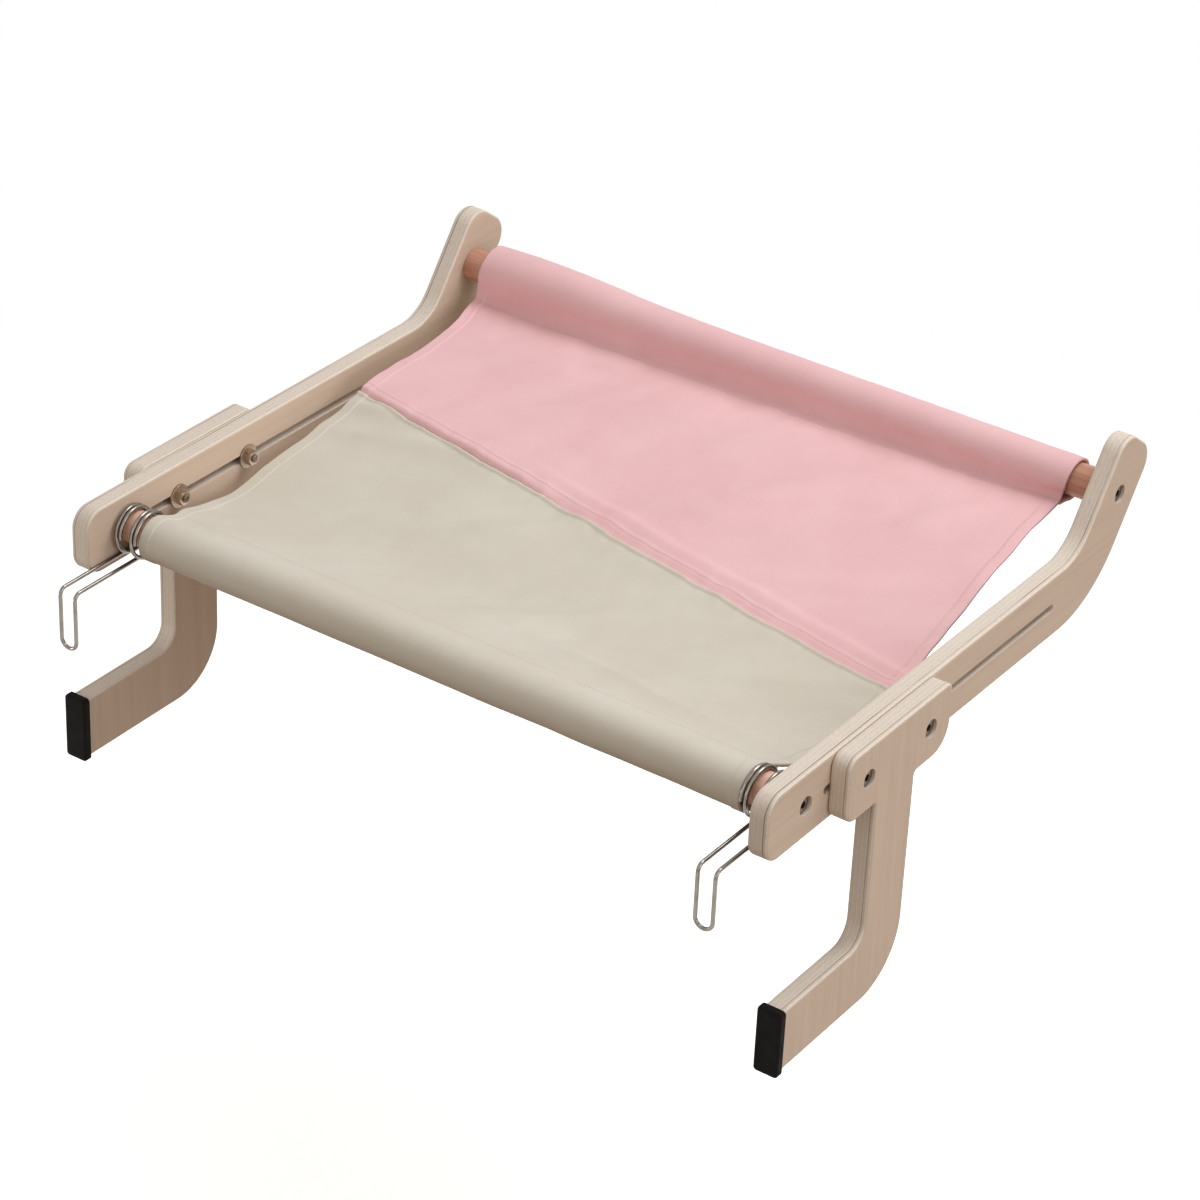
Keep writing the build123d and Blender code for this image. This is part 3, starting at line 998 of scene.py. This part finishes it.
# ---- stitches
@dataclass
class Stitching:
    """Rows of lock stitches along the canvas's seam, sleeves and hems."""

    seat: CanvasSeat
    length: float = 2.6
    gap: float = 0.9
    width: float = 0.5
    flatness: float = 2.6
    proud: float = 0.02
    pile: float = 0.6
    in_hem: float = 1.2
    gauge_column: int = 100

    def one_stitch(self) -> tuple[Array, list[tuple[int, ...]]]:
        """Model one stitch along X, in millimetres.

        Returns:
            Its points and its faces.
        """
        centre = (0, 0, 0)
        size = (self.length / 2, self.width / 2, self.width / self.flatness)
        bpy.ops.object.select_all(action="DESELECT")
        bpy.ops.mesh.primitive_uv_sphere_add(segments=6, ring_count=5, radius=1)
        ball = bpy.context.object
        bpy.ops.object.mode_set(mode="EDIT")
        bpy.ops.mesh.select_all(action="SELECT")
        bpy.ops.transform.rotate(value=math.pi / 2, orient_axis="Y", center_override=centre)
        bpy.ops.transform.resize(value=size, center_override=centre)
        bpy.ops.object.mode_set(mode="OBJECT")
        points = np.array([each.co for each in ball.data.vertices])
        faces = [tuple(each.vertices) for each in ball.data.polygons]
        bpy.data.objects.remove(ball)
        return points, faces

    def along(self, line: Array, lifts: Array) -> list[tuple[Array, ...]]:
        """Space a row's stitches out along the cloth.

        Args:
            line: points of the row on the cloth.
            lifts: the cloth's normals there.

        Returns:
            Each stitch's place, direction and surface normal.
        """
        steps = np.linalg.norm(np.diff(line, axis=0), axis=1)
        run = np.concatenate([[0], np.cumsum(steps)])
        pitch = self.length + self.gap
        placed = []
        for spot in np.arange(pitch, run[-1] - pitch, pitch):
            index = int(np.clip(np.searchsorted(run, spot) - 1, 0, len(steps) - 1))
            way = line[index + 1] - line[index]
            t = (spot - run[index]) / steps[index]
            placed.append((line[index] + way * t, way / np.linalg.norm(way), lifts[index]))
        return placed

    def normals(self, rows: Array) -> Array:
        """Measure which way a sheet faces at each of its points."""
        crossed = np.cross(np.gradient(rows, axis=1), np.gradient(rows, axis=0))
        return crossed / np.linalg.norm(crossed, axis=2, keepdims=True)

    def sew(self, word: str, lines: list[tuple[Array, Array, float]], colour: Triple) -> None:
        """Sew several rows and join them in one piece.

        Args:
            word: the cloth's colour, by its word in names.
            lines: each row's points, normals and the cloth's thickness there.
            colour: the thread's colour.
        """
        points, faces = self.one_stitch()
        all_points: list[Array] = []
        all_faces: list[tuple[int, ...]] = []
        for line, lifts, wall in lines:
            for place, way, up in self.along(line, lifts):
                side = np.cross(up, way)
                side /= np.linalg.norm(side)
                top = np.cross(way, side)
                start = len(all_points) * len(points)
                turned = points @ np.array([way, side, top])
                all_points.append(turned + place + top * (wall / 2 + self.proud))
                all_faces += [tuple(index + start for index in face) for face in faces]
        mesh = bpy.data.meshes.new(f"{word}_stitches")
        mesh.from_pydata((np.vstack(all_points) * MM).tolist(), [], all_faces)
        piece = bpy.data.objects.new(mesh.name, mesh)
        bpy.context.scene.collection.objects.link(piece)
        mesh.shade_smooth()
        dress(piece, Thread(f"thread_{word}", colour).material())
        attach(piece, "frame")
        LOG.info("%s: %d stitches", piece.name, len(all_points))

    def build(self) -> None:
        """Sew the seam, the sleeves and the hems."""
        seat = self.seat
        front, rear = seat.front_rows, seat.rear_rows
        front_up, rear_up = self.normals(front), self.normals(rear)
        inset = seat.half_width - seat.hem + self.in_hem
        columns = np.array(seat.columns)
        hems = [int(np.argmin(np.abs(columns - place))) for place in (-inset, inset)]
        first = seat.front_sleeve_rows
        off_stitch = np.abs(front[first:, self.gauge_column, 1] - seat.front_stitch)
        sleeve = first + int(np.argmin(off_stitch))
        grey = [(front[sleeve], front_up[sleeve], seat.cloth)]
        grey += [(front[sleeve:-6, hem], front_up[sleeve:-6, hem], seat.doubled) for hem in hems]
        self.sew("grey", grey, (207, 200, 186))
        top, kink = seat.rear_gaps.index(seat.top_stitch), seat.kink_row - 2
        hem_rows = slice(top + 3, kink - 2)
        pink = [(rear[top], rear_up[top], seat.cloth + self.pile)]
        pink.append((rear[kink], rear_up[kink], seat.cloth))
        pink += [(rear[hem_rows, hem], rear_up[hem_rows, hem], seat.doubled) for hem in hems]
        self.sew("pink", pink, (230, 184, 187))


# ---- hard pieces
@dataclass
class SideFrame:
    """One side's arm, leg and pad."""

    side: Side
    inner_face: float = 275 * MM
    leg_face: float = 290.1 * MM
    board: float = 15 * MM
    outer_ply: float = 3.33 * MM
    arm_line: Triple = (122, 100, 78)
    leg_line: Triple = (155, 133, 110)

    def build(self, nodes: dict[str, Piece]) -> None:
        """Dress the side's boards and its rubber pad.

        Args:
            nodes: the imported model's pieces by name.
        """
        word = self.side.value
        right = self.side is Side.RIGHT
        depth = self.board - self.outer_ply if right else self.outer_ply
        for piece, face, grain, line in (
            ("arm", self.inner_face, Grain.ALONG_Y, self.arm_line),
            ("leg", self.leg_face, Grain.ALONG_Z, self.leg_line),
        ):
            start = face if right else -face - self.board
            finish = Plywood(f"{word}_{piece}_plywood", grain, start, depth, line)
            dress(nodes[f"{word}_{piece}"], finish.material())
        dress(nodes[f"{word}_pad"], Rubber(f"{word}_pad_rubber").material())
        LOG.info("%s side: arm, leg and pad", word)


@dataclass
class Hardware:
    """The bolts, inserts, washers, nuts and wire hooks."""

    # painted shade: the bolts' and inserts' steel is a dark brown that stands in for the shade of
    # the recesses round the bolt heads
    steel: Metal = Metal("plated_steel_painted_shade", (118, 100, 86), 0.34)
    nut: Metal = Metal("nut_steel", (178, 158, 140), 0.3)
    washer: Metal = Metal("washer_steel", (158, 138, 121), 0.36)
    # painted reflection: the wire's grey is darker than bright steel, standing in for the darker
    # surroundings it would mirror
    wire: Metal = Metal("spring_wire", (140, 133, 124), 0.16, 0.12)

    def build(self, nodes: dict[str, Piece]) -> None:
        """Dress every metal piece.

        Args:
            nodes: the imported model's pieces by name.
        """
        steel, wire = self.steel.material(), self.wire.material()
        kinds = (
            ("dowel_bolt", steel), ("insert", steel), ("clamp_bolt", steel),
            ("washer", self.washer.material()), ("nut", self.nut.material()),
        )
        for side in Side:
            dress(nodes[f"{side.value}_hook"], wire)
            for end in End:
                for kind, finish in kinds:
                    dress(nodes[f"{side.value}_{end.value}_{kind}"], finish)
        LOG.info("hardware dressed")


# ---- studio
@dataclass(frozen=True)
class Lamp:
    """A soft square lamp: its place, what it faces, its side, its watts and its light."""

    name: str
    place: Triple
    aim: Triple
    size: float
    power: float
    colour: Triple = (1, 1, 1)

    def build(self) -> None:
        """Add the lamp."""
        data = bpy.data.lights.new(self.name, "AREA")
        data.shape = "SQUARE"
        data.size, data.energy, data.color = self.size, self.power, self.colour
        lamp = bpy.data.objects.new(self.name, data)
        turn = (Vector(self.aim) - Vector(self.place)).to_track_quat("-Z", "Y").to_matrix()
        lamp.matrix_world = Matrix.Translation(self.place) @ turn.to_4x4()
        bpy.context.scene.collection.objects.link(lamp)


@dataclass
class Studio:
    """The camera, the lamps, the backdrop and the floor."""

    azimuth: float = 34.10
    elevation: float = 30.92
    roll: float = 2.604
    focal_pixels: float = 3930.3
    frame_pixels: float = 1200
    sensor: float = 36
    place: Triple = (1.3371, -1.7890, 1.4089)
    floor_height: float = -0.45
    floor_size: float = 14
    sky_colour: tuple[float, ...] = (1, 0.955, 0.9, 1)
    sky_strength: float = 0.48
    lamps: tuple[Lamp, ...] = (
        Lamp("key", (0.75, 1.3, 2.3), (0, 0.2, 0), 1.5, 40.5, (0.99, 1.02, 1.05)),
        Lamp("side", (3.3, -0.2, 1.05), (0, 0.1, 0), 1.95, 29, (1, 1.03, 1.08)),
        Lamp("front", (0.3, -2.1, 1), (0, 0, 0), 1, 4.1, (1, 0.88, 0.76)),
        Lamp("low", (-0.62, -0.3, -0.1), (-0.3, 0.05, -0.1), 0.12, 0.5),
    )

    def camera(self) -> None:
        """Set the camera at the photograph's place."""
        a, e, r = (math.radians(value) for value in (self.azimuth, self.elevation, self.roll))
        back = Vector((math.sin(a) * math.cos(e), -math.cos(a) * math.cos(e), math.sin(e)))
        right = Vector((math.cos(a), math.sin(a), 0))
        up = back.cross(right)
        right, up = right * math.cos(r) + up * math.sin(r), up * math.cos(r) - right * math.sin(r)
        data = bpy.data.cameras.new("camera")
        data.sensor_width = self.sensor
        data.lens = self.focal_pixels * self.sensor / self.frame_pixels
        data.clip_start, data.clip_end = 0.05, 30
        camera = bpy.data.objects.new("camera", data)
        turn = Matrix((right, up, back)).transposed().to_4x4()
        camera.matrix_world = Matrix.Translation(self.place) @ turn
        bpy.context.scene.collection.objects.link(camera)
        bpy.context.scene.camera = camera

    def sky(self) -> None:
        """Light the scene from all round, and show plain white behind it."""
        bench = NodeBench("studio", "World")
        light, white = (
            bench.add("ShaderNodeBackground", 0, {"Color": colour, "Strength": strength})
            for colour, strength in ((self.sky_colour, self.sky_strength), (WHITE, 1))
        )
        bpy.context.scene.world = bench.show(bench.by_ray(light, white))

    def build(self) -> None:
        """Set the studio."""
        bpy.context.scene.view_settings.view_transform = "Standard"
        self.camera()
        self.sky()
        for lamp in self.lamps:
            lamp.build()
        bpy.ops.object.select_all(action="DESELECT")
        bpy.ops.mesh.primitive_grid_add(
            x_subdivisions=8, y_subdivisions=8, size=self.floor_size,
            location=(0, 0, self.floor_height),
        )
        floor = bpy.context.object
        floor.name = "floor"
        dress(floor, StudioPaper().material())
        LOG.info("studio set")


def main() -> None:
    """Dress the hammock, piece by piece."""
    logging.basicConfig(level=logging.INFO, format="%(name)s %(message)s")
    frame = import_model()
    nodes = frame["nodes"]
    for side in Side:
        SideFrame(side).build(nodes)
    Hardware().build(nodes)
    # one dowel wood in two copies: the front dowel's paler tones are painted light, the rear
    # dowel's darker tones painted shade
    for end, pale, dark in (
        (End.FRONT, (246, 203, 180), (233, 181, 155)), (End.REAR, (202, 149, 124), (180, 126, 101)),
    ):
        dowel = f"{end.value}_dowel"
        dress(nodes[dowel], DowelWood(f"{dowel}_wood", pale, dark).material())
        LOG.info("%s dressed", dowel)
    seat = CanvasSeat()
    seat.build()
    Stitching(seat).build()
    Studio().build()


if __name__ == "__main__":
    main()
